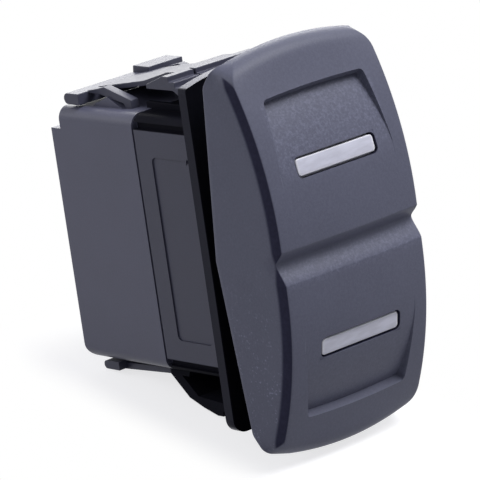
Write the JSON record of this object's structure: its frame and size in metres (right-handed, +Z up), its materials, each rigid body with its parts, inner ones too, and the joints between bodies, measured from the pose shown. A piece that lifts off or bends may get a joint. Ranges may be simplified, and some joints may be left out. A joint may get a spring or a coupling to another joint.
{
  "type": "panel rocker switch",
  "caption": "Three-position rocker switch with a contoured cap, two lit lens bars, a snap-in bracket with stepped wings, and a rear socket of push-on tabs.",
  "frame": {"origin": "centre of the panel cut-out, in the plane of the flange's rear face", "axes": "+X across the width, +Y rearwards through the panel, +Z up along the rocker"},
  "size_m": [0.026, 0.0479, 0.056],
  "materials": {
    "bracket_plastic": "satin charcoal moulding",
    "base_plastic": "satin charcoal moulding",
    "rocker_plastic": "grained matte charcoal moulding",
    "seal_rubber": "matte black",
    "tinned_brass": "stamped, thin tin plate",
    "silver_contact": "silver alloy, turned",
    "lamp_resin": "clear cast resin",
    "plated_wire": "tinned wire",
    "lens_plastic": "frosted light grey",
    "carrier_nylon": "natural nylon",
    "plunger_nylon": "natural acetal",
    "spring_steel": "drawn spring wire",
    "blade_copper": "copper alloy, stamped"
  },
  "bodies": {
    "housing": {"bracket": "bracket_plastic", "base": "base_plastic", "drum_seal": "seal_rubber", "common_terminal_a": "tinned_brass", "common_terminal_b": "tinned_brass", "upper_terminal_a": "tinned_brass", "upper_terminal_b": "tinned_brass", "lower_terminal_a": "tinned_brass", "lower_terminal_b": "tinned_brass", "fixed_contacts": "silver_contact", "upper_lamp_terminal_a": "tinned_brass", "upper_lamp_terminal_b": "tinned_brass", "lower_lamp_terminal_a": "tinned_brass", "lower_lamp_terminal_b": "tinned_brass", "upper_lamp": "lamp_resin", "lower_lamp": "lamp_resin", "lamp_leads": "plated_wire"},
    "rocker": {"rocker_cap": "rocker_plastic", "upper_lens": "lens_plastic", "lower_lens": "lens_plastic", "rocker_carrier": "carrier_nylon", "plunger_spring_a": "spring_steel", "plunger_spring_b": "spring_steel"},
    "plunger_left": {"plunger_a": "plunger_nylon"},
    "plunger_right": {"plunger_b": "plunger_nylon"},
    "contact_left": {"contact_blade_a": "blade_copper", "moving_contacts_a": "silver_contact"},
    "contact_right": {"contact_blade_b": "blade_copper", "moving_contacts_b": "silver_contact"}
  },
  "joints": [
    {"name": "rocker_tilt", "type": "hinge", "parent": "housing", "child": "rocker", "pos_m": [0, 0.0026, 0], "axis": [1, 0, 0], "range_deg": [-8, 8]},
    {"name": "contact_left_rock", "type": "hinge", "parent": "housing", "child": "contact_left", "pos_m": [-0.004, 0.014, 0], "axis": [1, 0, 0], "range_deg": [-7.2, 7.2]},
    {"name": "contact_right_rock", "type": "hinge", "parent": "housing", "child": "contact_right", "pos_m": [0.004, 0.014, 0], "axis": [1, 0, 0], "range_deg": [-7.2, 7.2]},
    {"name": "plunger_left_slide", "type": "slide", "parent": "rocker", "child": "plunger_left", "axis": [0, -1, 0], "range_m": [0, 0.0008], "stiffness_N_per_m": 1500, "springref_m": -0.002, "deforming": ["plunger_spring_a"]},
    {"name": "plunger_right_slide", "type": "slide", "parent": "rocker", "child": "plunger_right", "axis": [0, -1, 0], "range_m": [0, 0.0008], "stiffness_N_per_m": 1500, "springref_m": -0.002, "deforming": ["plunger_spring_b"]}
  ],
  "couplings": [
    {"joint": "contact_left_rock", "follows": "rocker_tilt", "ratio": -0.9},
    {"joint": "contact_right_rock", "follows": "rocker_tilt", "ratio": -0.9}
  ]
}
